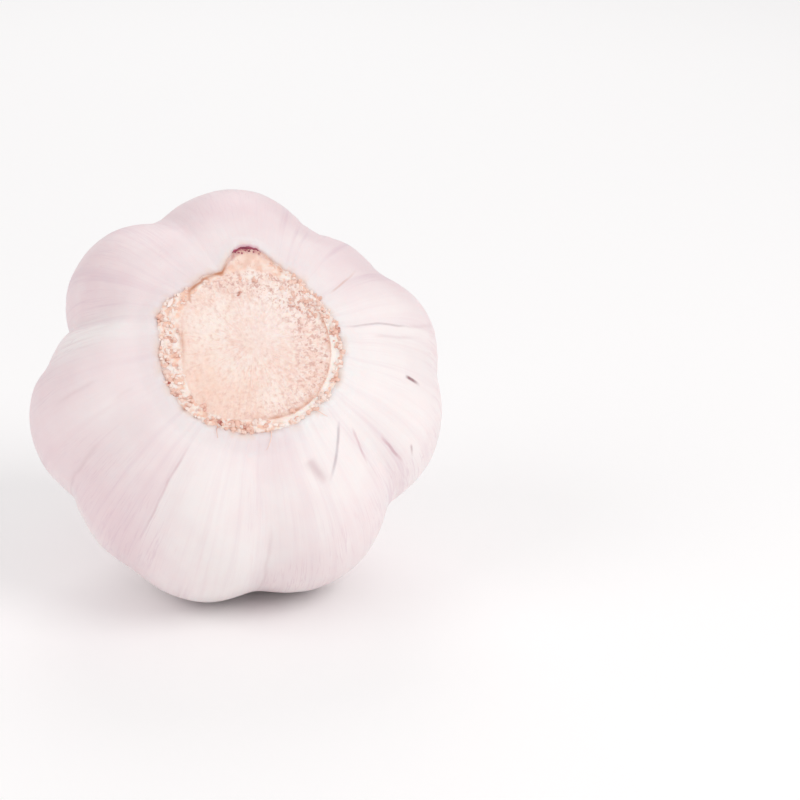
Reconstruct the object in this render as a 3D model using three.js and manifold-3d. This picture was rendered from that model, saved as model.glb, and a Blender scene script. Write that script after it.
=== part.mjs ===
import * as THREE from "three";
import { mergeVertices } from "three/addons/utils/BufferGeometryUtils.js";
import Module from "manifold-3d";

// A whole garlic bulb lying on its side: two bulges and the tip of the cut neck touch the surface,
// and the root plate faces forward (-Y) and a little up. Millimetres, +Z up, the origin on the
// surface under the middle of the bulb.
//
// Each piece is worked out standing up, with the root plate at height 0 and the neck on +Z, and one
// group then lays it down. Angles round the axis are seen from the root side: 0 is +X, and 90 is the
// side that ends on top when the bulb lies down.

const wasm = await Module();
wasm.setup();

// ---- Driving dimensions ----

const bellyRadius = 30; // from the axis to the crest of an ordinary bulge
const bellyHeight = 19.6; // from the root plate to the widest level
const neckEndRadius = 5.9;
const neckEndHeight = 62;

const plateRadius = 12.6; // the round part of the root plate's pocket
const plateShift = 0.5; // how far the plate's centre is off the axis, along +X
const pocketDepth = 1.6;
const plateGap = 0.3; // clearance between the plate and its pocket

const layBack = 36.6; // how far the root plate looks up from level as the bulb lies, degrees
const layRoll = 0; // turn about the axis, degrees
const restFlat = 0.25; // how deep the surface flattens the lowest spots

// One entry for each clove that swells the skin. at: its direction at the widest level, degrees.
// reach: axis to crest there. spread: its width against an even eighth. sway: how far its line
// leans from root to neck, degrees. heel: extra reach by the root. drop: reach lost by the shoulder.
const cloves = [
  { at: 87, reach: 30.0, spread: 1.14, sway: 5, heel: 0.0, drop: 0.2 },
  { at: 131, reach: 29.6, spread: 1.0, sway: -4, heel: 0.5, drop: -0.6 },
  { at: 189, reach: 30.3, spread: 1.05, sway: 6, heel: 0.0, drop: 0.7 },
  { at: 228, reach: 30.3, spread: 0.89, sway: 2, heel: -0.4, drop: -0.4 },
  { at: 252.5, reach: 32.0, spread: 0.95, sway: -3, heel: 0.3, drop: 0.3 },
  { at: 291, reach: 32.0, spread: 1.1, sway: 4, heel: 0.0, drop: 0.0 },
  { at: 341, reach: 31.1, spread: 1.09, sway: -5, heel: 0.4, drop: 0.8 },
  { at: 11, reach: 31.1, spread: 0.9, sway: -2, heel: -0.3, drop: -0.5 },
  { at: 41, reach: 27.8, spread: 1.06, sway: 4, heel: 0.2, drop: 0.2 },
];

// The skin's side line at a crest, as [radius, height], from the pocket's rim over the belly and
// the shoulder to the end of the neck.
const skinLine = new THREE.SplineCurve(
  [
    [plateRadius + 0.3, 0.5],
    [14.8, 0.35],
    [18.8, 1.3],
    [23.2, 4.2],
    [26.9, 8.6],
    [29.2, 14.0],
    [bellyRadius, bellyHeight],
    [29.1, 25.6],
    [26.2, 31.8],
    [21.4, 37.4],
    [15.8, 42.2],
    [10.8, 46.2],
    [7.8, 50.2],
    [6.3, 54.4],
    [5.8, 58.6],
    [neckEndRadius, neckEndHeight],
  ].map(([radius, height]) => new THREE.Vector2(radius, height)),
);

// The cut end of the neck inside its outer edge: share of the end radius, and depth below the edge.
// Two rolled sheaths with a groove between them stand round a low core.
const cutRings = [
  [0.88, -0.2],
  [0.76, 1.1],
  [0.62, 0.4],
  [0.5, 1.4],
  [0.3, 0.9],
  [0, 1.1],
];

const columns = 96; // facets round the bulb
const skinSteps = 42; // facets along the skin line

const discRadius = 10.7; // the raised middle of the plate

// How the edge of the pocket and of the disc leave a plain circle. Each wave is a smooth bulge or
// dent: its direction and half width in degrees, and how far out it goes. The first is the tongue
// that the plate sends up on to a clove.
const plateWaves = [
  { at: 89, wide: 15, out: 3.6 },
  { at: 35, wide: 26, out: -1.2 },
  { at: 103, wide: 31, out: -1.8 },
  { at: 154, wide: 12, out: 1.3 },
  { at: 219, wide: 34, out: 0.8 },
];
const discWaves = [
  { at: 177, wide: 20, out: -1.0 },
  { at: 231, wide: 20, out: 1.0 },
  { at: 307, wide: 43, out: 0.6 },
];

const stubRows = [
  { count: 46, inset: 1.2, height: 1.0, thickness: 0.5, lean: 0.35 },
  { count: 38, inset: 1.8, height: 0.75, thickness: 0.42, lean: 0.1 },
];

// ---- Small helpers ----

const radians = THREE.MathUtils.degToRad;
const smooth = (from, to, x) => THREE.MathUtils.smoothstep(x, from, to);

// A repeatable random number from 0 to 1 (mulberry32).
function randomFrom(seed) {
  let state = seed;
  return () => {
    state = (state + 0x6d2b79f5) | 0;
    let mixed = Math.imul(state ^ (state >>> 15), 1 | state);
    mixed = (mixed + Math.imul(mixed ^ (mixed >>> 7), 61 | mixed)) ^ mixed;
    return ((mixed ^ (mixed >>> 14)) >>> 0) / 4294967296;
  };
}

// The angle from one direction to another, between -PI and PI.
function turnBetween(from, to) {
  return Math.atan2(Math.sin(to - from), Math.cos(to - from));
}

// A closed surface of rings round the axis. pointAt(ring, angle) gives a point, and the first and
// last rings are single points on the axis.
function closedSurface(ringCount, columnCount, pointAt) {
  const points = [pointAt(0, 0)];
  for (let ring = 1; ring < ringCount - 1; ring += 1) {
    for (let column = 0; column < columnCount; column += 1) {
      points.push(pointAt(ring, (column / columnCount) * 2 * Math.PI));
    }
  }
  points.push(pointAt(ringCount - 1, 0));

  const last = points.length - 1;
  const at = (ring, column) => 1 + (ring - 1) * columnCount + (column % columnCount);
  const faces = [];
  for (let column = 0; column < columnCount; column += 1) {
    faces.push(0, at(1, column), at(1, column + 1));
    for (let ring = 1; ring < ringCount - 2; ring += 1) {
      const [a, b] = [at(ring, column), at(ring, column + 1)];
      const [c, d] = [at(ring + 1, column), at(ring + 1, column + 1)];
      faces.push(a, c, b, b, c, d);
    }
    faces.push(last, at(ringCount - 2, column + 1), at(ringCount - 2, column));
  }
  return new THREE.BufferGeometry().setFromPoints(points).setIndex(faces);
}

// A three.js geometry as a manifold-3d solid, and back.
function solidFrom(geometry) {
  const bare = geometry.clone();
  bare.deleteAttribute("normal");
  bare.deleteAttribute("uv");
  const merged = mergeVertices(bare, 1e-4);
  return new wasm.Manifold(
    new wasm.Mesh({
      numProp: 3,
      vertProperties: merged.attributes.position.array,
      triVerts: new Uint32Array(merged.index.array),
    }),
  );
}

function geometryFrom(solid) {
  const mesh = solid.getMesh();
  const geometry = new THREE.BufferGeometry();
  geometry.setAttribute("position", new THREE.BufferAttribute(mesh.vertProperties, 3));
  geometry.setIndex(new THREE.BufferAttribute(mesh.triVerts, 1));
  geometry.computeVertexNormals();
  return geometry;
}

// ---- The shape of the bulb ----

// A circle's radius, with a smooth bulge or dent for each wave.
function wavyRadius(angle, base, waves) {
  let radius = base;
  for (const { at, wide, out } of waves) {
    const off = turnBetween(radians(at), angle) / radians(wide);
    radius += out * Math.exp(-off * off);
  }
  return radius;
}

const plateOutline = (angle) => wavyRadius(angle, plateRadius, plateWaves);
const discOutline = (angle) => wavyRadius(angle, discRadius, discWaves);

// How far out the skin stands in a direction, as a share of the belly radius. Each clove is a circle
// in cross section, its centre out from the axis, and a high power mean joins the circles smoothly.
function cloveSwell(angle, height) {
  const centre = 0.6; // a clove's centre, as a share of its reach
  const joining = THREE.MathUtils.lerp(26, 16, smooth(20, 44, height));
  let total = 0;
  for (const clove of cloves) {
    const lean = (clove.sway * (height - bellyHeight)) / 40;
    const off = turnBetween(radians(clove.at + lean), angle) / clove.spread;
    if (Math.abs(off) > 1.2) continue;
    const inside = (1 - centre) ** 2 - (centre * Math.sin(off)) ** 2;
    const swell = centre * Math.cos(off) + Math.sqrt(Math.max(inside, 0));
    const reach =
      clove.reach +
      clove.heel * (1 - smooth(4, 16, height)) -
      clove.drop * smooth(22, 44, height);
    total += ((swell * reach) / bellyRadius) ** joining;
  }
  return total ** (1 / joining);
}

// The gathered skin of the neck: uneven lengthwise pleats that twist a little.
function neckPleats(angle, height) {
  const twist = 0.02 * (height - 40);
  return (
    0.3 * Math.cos(9 * angle + 0.8 + 3 * twist) +
    0.2 * Math.cos(14 * angle + 2.1 - 4 * twist) +
    0.12 * Math.cos(5 * angle + 4.0)
  );
}

// A point of the standing bulb. radius and height are on the side line, and out is the direction
// across it, as [radial, upward]. neck is the share of the neck's end radius inside the cut.
function bulbPoint({ radius, height, out, neck = 1 }, angle) {
  const rootRelief = height < bellyHeight ? smooth(13.5, 27, radius) : 1;
  const relief = rootRelief * (1 - smooth(33, 53, height));
  const pleat = smooth(40, 50, height) * neck;
  const push =
    (cloveSwell(angle, height) - 1) * bellyRadius * relief +
    neckPleats(angle, height) * pleat;

  const rim = height < bellyHeight ? 1 - smooth(plateRadius, 19, radius) : 0;
  const r = radius + out[0] * push + (plateOutline(angle) - plateRadius) * rim;
  const end = smooth(54, neckEndHeight, height);
  const slant = 0.14 * end * r * Math.cos(angle - radians(70));
  const bend = Math.max(0, (height - 44) / 18) ** 2; // the neck gives where it meets the surface
  const x = r * Math.cos(angle) + plateShift * rim + 0.9 * bend;
  const y = r * Math.sin(angle) + 0.6 * bend;
  return new THREE.Vector3(x, -y, height + out[1] * push + slant);
}

function bulbGeometry() {
  const up = [0, 1];
  const rings = [0, 0.5, 1].map((share) => ({
    radius: 0.001 + share * plateRadius,
    height: pocketDepth,
    out: up,
    share,
  }));
  for (let step = 0; step <= skinSteps; step += 1) {
    const t = step / skinSteps;
    const { x: radius, y: height } = skinLine.getPoint(t);
    const along = skinLine.getTangent(t);
    rings.push({ radius, height, out: [along.y, -along.x] });
  }
  for (const [share, depth] of cutRings) {
    rings.push({
      radius: share * neckEndRadius,
      height: neckEndHeight - depth,
      out: [1, 0],
      neck: share,
    });
  }
  return closedSurface(rings.length, columns, (index, angle) => {
    const ring = rings[index];
    if (ring.share === undefined) return bulbPoint(ring, angle);
    const r = ring.share * plateOutline(angle);
    return new THREE.Vector3(
      r * Math.cos(angle) + plateShift,
      -r * Math.sin(angle),
      pocketDepth,
    );
  });
}

// ---- The root plate ----

// The plate's face, as [distance, height above the pocket's rim level]. Distances 0 to 1 lead from
// the centre to the edge of the raised disc, and 1 to 2 from there across the ring of root stubs.
const plateFace = [
  [0, 0.42],
  [0.35, 0.36],
  [0.68, 0.3],
  [0.88, 0.42],
  [0.98, 0.38],
  [1.06, 0.02],
  [1.3, 0.08],
  [1.6, 0.5],
  [1.88, 0.3],
  [2, -0.1],
];

// A point of the plate, by distance as above, with its outline a gap's width inside the pocket's.
function platePoint(distance, angle, height) {
  const outline = plateOutline(angle) - plateGap;
  const inner = Math.min(distance, 1);
  const ring = Math.max(0, distance - 1);
  const r = inner * discOutline(angle) * (1 - ring) + outline * ring;
  return new THREE.Vector3(r * Math.cos(angle) + plateShift, -r * Math.sin(angle), height);
}

function plateGeometry() {
  const back = pocketDepth - plateGap;
  const rings = [...plateFace, [2, -back], [0, -back]];
  return closedSurface(rings.length, columns, (index, angle) => {
    const [distance, raised] = rings[index];
    const ripple = Math.sin(7 * angle + 3 * distance) + Math.sin(12 * angle - 5 * distance);
    const bump = raised > -0.1 ? 0.05 * distance * ripple : 0;
    return platePoint(distance, angle, -raised - bump);
  });
}

// The trimmed roots: short tapered pegs in two uneven rows round the rim, their feet in the plate.
function rootStubs() {
  const random = randomFrom(7);
  const stubs = [];
  for (const row of stubRows) {
    for (let n = 0; n < row.count; n += 1) {
      const angle = ((n + 0.7 * (random() - 0.5)) / row.count) * 2 * Math.PI;
      const r = plateOutline(angle) - row.inset + 0.5 * (random() - 0.5);
      const tall = row.height * (0.55 + 0.9 * random());
      const thick = row.thickness * (0.8 + 0.5 * random());
      const stub = new THREE.CylinderGeometry(0.65 * thick, thick, tall + 1.2, 5, 1);
      stub.rotateX(-Math.PI / 2); // its tip points down, away from the bulb
      stub.translate(0, 0, -tall / 2 + 0.5);
      stub.rotateZ(random() * Math.PI);
      stub.rotateX(0.35 * (random() - 0.5));
      stub.rotateY(row.lean + 0.4 * (random() - 0.5)); // leans outward
      stub.translate(r, 0, 0);
      stub.rotateZ(-angle);
      stub.translate(plateShift, 0, 0);
      stubs.push(stub);
    }
  }
  return stubs;
}

// ---- Putting it together ----

const skinMaterial = new THREE.MeshStandardMaterial({
  color: 0xeadbdc,
  roughness: 0.5,
  metalness: 0,
});
const rootMaterial = new THREE.MeshStandardMaterial({
  color: 0xe9c7b2,
  roughness: 0.9,
  metalness: 0,
});

// Lays the standing bulb down: the neck, +Z, goes back and down, and the root plate looks forward.
const lying = new THREE.Group();
lying.rotation.order = "XYZ";
lying.rotation.x = -radians(90 + layBack);
lying.rotation.z = radians(layRoll);
lying.updateMatrixWorld(true);

const standing = bulbGeometry();
const laid = standing.clone().applyMatrix4(lying.matrix);
laid.computeBoundingBox();
const floorLevel = laid.boundingBox.min.z + restFlat;

// The surface takes a shallow flat off each spot that touches it.
const slabSize = 200;
const slab = new THREE.BoxGeometry(slabSize, slabSize, slabSize);
slab.translate(0, 0, floorLevel - slabSize / 2);
slab.applyMatrix4(lying.matrix.clone().invert());
const bulb = new THREE.Mesh(
  geometryFrom(solidFrom(standing).subtract(solidFrom(slab))),
  skinMaterial,
);
bulb.name = "bulb";

let plateSolid = solidFrom(plateGeometry());
for (const stub of rootStubs()) {
  plateSolid = plateSolid.add(solidFrom(stub));
}
const rootPlate = new THREE.Mesh(geometryFrom(plateSolid), rootMaterial);
rootPlate.name = "root_plate";

lying.add(bulb, rootPlate);

const garlic = new THREE.Group();
garlic.add(lying);
garlic.updateMatrixWorld(true);
const bounds = new THREE.Box3().setFromObject(garlic, true);
lying.position.set(
  -(bounds.min.x + bounds.max.x) / 2,
  -(bounds.min.y + bounds.max.y) / 2,
  -floorLevel,
);

export default garlic;
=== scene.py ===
import math

import bpy
import numpy as np
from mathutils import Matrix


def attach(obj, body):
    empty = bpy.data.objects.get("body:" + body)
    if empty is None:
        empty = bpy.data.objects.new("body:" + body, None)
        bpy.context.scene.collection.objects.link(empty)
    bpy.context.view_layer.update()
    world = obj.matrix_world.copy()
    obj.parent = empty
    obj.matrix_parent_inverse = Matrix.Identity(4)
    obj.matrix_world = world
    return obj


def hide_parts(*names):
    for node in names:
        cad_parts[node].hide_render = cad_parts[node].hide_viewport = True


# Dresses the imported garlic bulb: fine papery skin, cut neck, root plate with its ring of roots.
# Shapes are worked out standing up, in millimetres, then laid down and turned into metres.

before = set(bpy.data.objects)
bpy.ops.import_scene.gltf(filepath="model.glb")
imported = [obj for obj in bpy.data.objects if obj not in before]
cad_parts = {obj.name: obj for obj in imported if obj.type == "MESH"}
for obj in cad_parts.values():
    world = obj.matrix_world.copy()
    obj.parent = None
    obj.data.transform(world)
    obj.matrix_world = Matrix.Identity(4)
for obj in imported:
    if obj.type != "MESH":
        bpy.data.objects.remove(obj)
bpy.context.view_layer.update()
print("frame loaded")

mm = 0.001
fullTurn = 2 * np.pi


def smooth(low, high, x):
    # 0 below low, 1 above high, and an even S between them
    t = np.clip((x - low) / (high - low), 0, 1)
    return t * t * (3 - 2 * t)


def turnBetween(a, b):
    # the angle from a to b, between -pi and pi
    return np.arctan2(np.sin(b - a), np.cos(b - a))


def turns(count):
    # even directions round the axis
    return np.linspace(0, fullTurn, count + 1)[:-1]


def bell(x, width):
    # 1 at x = 0, falling off smoothly on both sides
    return np.exp(-((x / width) ** 2))


def near(angle, at, wide):
    # 1 at a direction, falling off over the width, both in degrees
    return bell(turnBetween(np.radians(at), angle), np.radians(wide))


def past(angle, at, wide):
    # 0 before a direction, 1 just past it and falling off; a negative width turns it round
    softness = 1.2
    off = np.degrees(turnBetween(np.radians(at), angle)) * np.sign(wide)
    return smooth(-softness, softness, off) * bell(off, wide)


def splineThrough(points, t):
    # cubics through evenly spaced points, with half the step between the neighbours as slopes
    points = np.asarray(points, float)
    last = len(points) - 1
    i = np.clip(np.floor(t * last).astype(int), 0, last - 1)
    w = (t * last - i)[..., None]
    p0, p1 = points[np.maximum(i - 1, 0)], points[i]
    p2, p3 = points[i + 1], points[np.minimum(i + 2, last)]
    v0, v1 = (p2 - p0) / 2, (p3 - p1) / 2
    return (2 * p1 - 2 * p2 + v0 + v1) * w**3 + (-3 * p1 + 3 * p2 - 2 * v0 - v1) * w**2 + v0 * w + p1


def patchNoise(angle, along, cellsAround, cellLength, seed):
    # random heights from -1 to 1 on a lattice that closes round the axis, blended smoothly
    rng = np.random.default_rng(seed)
    a = (angle / fullTurn * cellsAround) % cellsAround
    b = along / cellLength
    b = b - np.floor(b.min())
    lattice = rng.uniform(-1, 1, (int(np.ceil(b.max())) + 2, cellsAround))
    i, j = np.floor(b).astype(int), np.floor(a).astype(int) % cellsAround
    u, v = smooth(0, 1, a - np.floor(a)), smooth(0, 1, b - np.floor(b))
    k = (j + 1) % cellsAround
    low = lattice[i, j] * (1 - u) + lattice[i, k] * u
    high = lattice[i + 1, j] * (1 - u) + lattice[i + 1, k] * u
    return low * (1 - v) + high * v


def roundNoise(angle, cellsAround, seed):
    # the same heights, changing with the direction alone
    return patchNoise(angle, 0 * angle, cellsAround, 1, seed)


def lineNoise(along, cellLength, seed):
    # and changing along a line alone
    return patchNoise(0 * along, along, 1, cellLength, seed)


bulbForm = {
    "bellyRadius": 30.0,
    "bellyHeight": 19.6,
    "neckEndRadius": 5.9,
    "neckEndHeight": 62.0,
    "cloveCentre": 0.6,  # of each clove's circle, as a share of its reach
    "cloveJoining": (26, 16),  # power of the mean that joins the circles, on the belly and behind
    "cloveRadii": (13.5, 27),  # between these the cloves come up from the root plate
    "cloveHeights": (33, 53),  # and between these they end
    "pleatHeights": (40, 50),  # where the pleats of the neck begin
    "pleats": [(9, 0.8, 3, 0.3), (14, 2.1, -4, 0.2), (5, 4.0, 0, 0.12)],  # number, start, twist, depth
    "plateRadius": 12.6,
    "plateSurround": 19,  # the radius that the plate's outline shapes the skin to
    "plateShift": 0.5,
    "pocketDepth": 1.6,
    "slant": (0.14, 70),  # of the cut, and the direction that it rises to, in degrees
    "slantFrom": 54,
    "bend": (0.9, 0.6),  # of the neck's end, to the side and up
    "bendFrom": 44,
    "layBack": 36.6,
    "restFlat": 0.25,
}

# The torn edge of the skin round the root plate, and the disc's edge inside it: circles with
# waves, each a direction and half width in degrees, then millimetres outwards. The first one is
# the tongue that the plate sends up on to a clove.
edgeForm = {
    "skinWaves": [(89, 15, 3.6), (35, 26, -1.2), (103, 31, -1.8), (154, 12, 1.3), (219, 34, 0.8)],
    "flankWaves": [(117, 9, 0.5), (104, 4, -0.5)],  # more of them for the torn edge alone
    "skinRag": (0.2, 0.1),  # coarse and fine unevenness, millimetres
    "skinStand": 0.75,  # how far the edge stands out from the form's own line
    "standReach": (0.3, 3.2),  # between these distances along the skin it comes back to the line
    "discRadius": 10.7,
    "discWaves": [(177, 20, -1.0), (231, 20, 1.0), (307, 43, 0.6)],
    "tuck": 0.4,  # how far the plate reaches under the skin
}

# direction, reach, spread, sway, heel and drop of each clove under the skin
cloves = [
    (87, 30.0, 1.14, 5, 0.0, 0.2),
    (131, 29.6, 1.0, -4, 0.5, -0.6),
    (189, 30.3, 1.05, 6, 0.0, 0.7),
    (228, 30.3, 0.89, 2, -0.4, -0.4),
    (252.5, 32.0, 0.95, -3, 0.3, 0.3),
    (291, 32.0, 1.1, 4, 0.0, 0.0),
    (341, 31.1, 1.09, -5, 0.4, 0.8),
    (11, 31.1, 0.9, -2, -0.3, -0.5),
    (41, 27.8, 1.06, 4, 0.2, 0.2),
]

# the skin's side line at a crest, radius and height
skinLine = [(12.9, 0.5), (14.8, 0.35), (18.8, 1.3), (23.2, 4.2), (26.9, 8.6), (29.2, 14.0), (30.0, 19.6)]
skinLine += [(29.1, 25.6), (26.2, 31.8), (21.4, 37.4), (15.8, 42.2), (10.8, 46.2), (7.8, 50.2)]
skinLine += [(6.3, 54.4), (5.8, 58.6), (5.9, 62.0)]


def cloveSwell(angle, height):
    # each clove is a circle in cross section, longer at the heel by the root and shorter behind
    # by its drop; a high power mean joins the circles
    centre, (joinBelly, joinBehind) = bulbForm["cloveCentre"], bulbForm["cloveJoining"]
    swayLength, widest = 40, 1.2
    joining = joinBelly + (joinBehind - joinBelly) * smooth(20, 44, height)
    total = 0
    for at, reach, spread, sway, heel, drop in cloves:
        lean = sway * (height - bulbForm["bellyHeight"]) / swayLength
        off = turnBetween(np.radians(at + lean), angle) / spread
        inside = (1 - centre) ** 2 - (centre * np.sin(off)) ** 2
        swell = centre * np.cos(off) + np.sqrt(np.maximum(inside, 0))
        crest = reach + heel * (1 - smooth(4, 16, height)) - drop * smooth(22, 44, height)
        share = np.maximum(swell, 1e-3) * crest / bulbForm["bellyRadius"]
        total = total + np.where(np.abs(off) > widest, 0, share**joining)
    return total ** (1 / joining)


def valleys(angle, height, full):
    # 0 on a clove's crest, 1 where the swell is less than there by the full amount
    return smooth(0.0, full, 1 - cloveSwell(angle, height))


def withWaves(angle, base, waves):
    # the base, plus a bell-shaped bump or dent for each wave
    return base + sum(out * near(angle, at, wide) for at, wide, out in waves)


def plateOutline(angle):
    # the root plate's radius with its waves
    return withWaves(angle, bulbForm["plateRadius"], edgeForm["skinWaves"])


def tornEdge(angle):
    # the plate's outline with the tongue's flank, and a coarse and a fine noise on it
    coarse, fine = edgeForm["skinRag"]
    outline = withWaves(angle, bulbForm["plateRadius"], edgeForm["skinWaves"] + edgeForm["flankWaves"])
    return outline + coarse * roundNoise(angle, 70, 16) + fine * roundNoise(angle, 190, 17)


def skinEdge(angle):
    # the torn edge, less the step between the plate's radius and where the side line starts
    return tornEdge(angle) - (skinLine[0][0] - bulbForm["plateRadius"])


def discEdge(angle):
    # the disc's radius with its waves
    return withWaves(angle, edgeForm["discRadius"], edgeForm["discWaves"])


def onPlate(r, angle, up):
    # a point r from the plate's middle and up from its plane, in millimetres
    return np.stack([r * np.cos(angle) + bulbForm["plateShift"], r * np.sin(angle), -up + 0 * r], -1)


def neckPleats(angle, height):
    # a sum of waves round the neck that twist slowly on the way up
    twist = 0.02 * (height - bulbForm["pleatHeights"][0])
    waves = bulbForm["pleats"]
    return sum(deep * np.cos(number * angle + start + turn * twist) for number, start, turn, deep in waves)


def bulbPoint(radius, height, outR, outH, angle, neck=1.0, lift=0.0, edge=None):
    # the side line pushed out by the cloves, the pleats and lift, its start moved to the root
    # plate's outline or to the edge given, and its end slanted and bent
    onRootSide = height < bulbForm["bellyHeight"]
    rootRelief = np.where(onRootSide, smooth(*bulbForm["cloveRadii"], radius), 1)
    relief = rootRelief * (1 - smooth(*bulbForm["cloveHeights"], height))
    push = (cloveSwell(angle, height) - 1) * bulbForm["bellyRadius"] * relief
    push = push + neckPleats(angle, height) * smooth(*bulbForm["pleatHeights"], height) * neck + lift
    rim = 1 - smooth(bulbForm["plateRadius"], bulbForm["plateSurround"], radius)
    rim = np.where(onRootSide, rim, 0)
    if edge is None:
        edge = plateOutline(angle)
    r = radius + outR * push + (edge - bulbForm["plateRadius"]) * rim
    (slope, rising), (aside, above) = bulbForm["slant"], bulbForm["bend"]
    end = smooth(bulbForm["slantFrom"], bulbForm["neckEndHeight"], height)
    slant = slope * end * r * np.cos(angle - np.radians(rising))
    bendLength = bulbForm["neckEndHeight"] - bulbForm["bendFrom"]
    bend = np.maximum(0, (height - bulbForm["bendFrom"]) / bendLength) ** 2
    x = r * np.cos(angle) + bulbForm["plateShift"] * rim + aside * bend
    u = r * np.sin(angle) + above * bend
    return np.stack(np.broadcast_arrays(x, u, height + outH * push + slant), -1)


def sideLine(t):
    # radius, height and outward direction of the skin line at each share t
    q = splineThrough(skinLine, t)
    step = 1e-4
    d = splineThrough(skinLine, np.clip(t + step, 0, 1)) - splineThrough(skinLine, np.clip(t - step, 0, 1))
    d = d / np.linalg.norm(d, axis=-1, keepdims=True)
    return q[..., 0], q[..., 1], d[..., 1], -d[..., 0]


def layDown(points):
    # x stays, the neck goes back and down, and the up side ends on top
    lay = np.radians(bulbForm["layBack"])
    s, c = np.sin(lay), np.cos(lay)
    x, u, h = points[..., 0], points[..., 1], points[..., 2]
    return np.stack([x, u * s + h * c, u * c - h * s], -1)


# The plain form decides where the bulb lies, as it does in the frame: its box stands over the
# middle, and it is sunk by the flat that it rests on.
formAngle, formT = np.meshgrid(turns(96), np.linspace(0, 1, 43))
laidForm = layDown(bulbPoint(*sideLine(formT), formAngle)).reshape(-1, 3)
formLow, formHigh = laidForm.min(0), laidForm.max(0)
layShift = -(formLow + formHigh) / 2
layShift[2] = -(formLow[2] + bulbForm["restFlat"])


def toScene(points):
    # standing millimetres to metres in the frame; nothing goes below the surface
    laid = layDown(points) + layShift
    laid[..., 2] = np.maximum(laid[..., 2], 0)
    return laid * mm


def gridFaces(rows, columns, start=0, closedAlong=False):
    # the four-sided faces between neighbouring points of a grid that closes round its columns
    i = np.arange(rows if closedAlong else rows - 1)[:, None]
    j = np.arange(columns)[None, :]
    nextI, nextJ = (i + 1) % rows, (j + 1) % columns
    corners = [i * columns + j, i * columns + nextJ, nextI * columns + nextJ, nextI * columns + j]
    return np.stack(np.broadcast_arrays(*corners), -1).reshape(-1, 4) + start


def makePiece(name, points, faces):
    # points (metres) and lists of faces into a mesh object at the origin
    mesh = bpy.data.meshes.new(name)
    mesh.from_pydata(points.reshape(-1, 3).tolist(), [], faces)
    mesh.update()
    mesh.polygons.foreach_set("use_smooth", np.full(len(mesh.polygons), True))
    piece = bpy.data.objects.new(name, mesh)
    bpy.context.scene.collection.objects.link(piece)
    return piece


def closedPiece(name, grids, poles=None):
    # closed surfaces as one piece: each is a grid of rings with a point at both ends, the middle
    # of the end ring if none is given
    if poles is None:
        poles = np.stack([grids[:, 0].mean(1), grids[:, -1].mean(1)], 1)
    count, rings, around = grids.shape[:3]
    points = np.concatenate([grids.reshape(count, rings * around, 3), poles], 1)
    j = np.arange(around)
    k = (j + 1) % around
    first, top = np.full(around, rings * around), (rings - 1) * around
    caps = np.vstack([np.stack([first, k, j], -1), np.stack([first + 1, top + j, top + k], -1)])
    starts = (np.arange(count) * points.shape[1])[:, None, None]
    faces = []
    for some in (gridFaces(rings, around), caps):
        faces += (some[None] + starts).reshape(-1, some.shape[1])[:, ::-1].tolist()
    return makePiece(name, toScene(points), faces)


def tellVertices(piece, name, values):
    # keeps a number or a vector for each vertex, for the materials to read
    values = np.asarray(values, np.float32)
    kind, field = ("FLOAT_VECTOR", "vector") if values.ndim > 1 else ("FLOAT", "value")
    layer = piece.data.attributes.new(name, kind, "POINT")
    layer.data.foreach_set(field, values.reshape(-1))


def tellGrid(piece, name, values, start=0.0, end=0.0):
    # the same for a closed grid: the values of its rings, then those of its two end points
    tellVertices(piece, name, np.concatenate([values.reshape(-1, *np.shape(start)), [start, end]]))


def tellLumps(piece, name, values):
    # and one value for all the vertices of each closed surface in a piece
    tellVertices(piece, name, np.repeat(values, len(piece.data.vertices) // len(values)))


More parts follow.
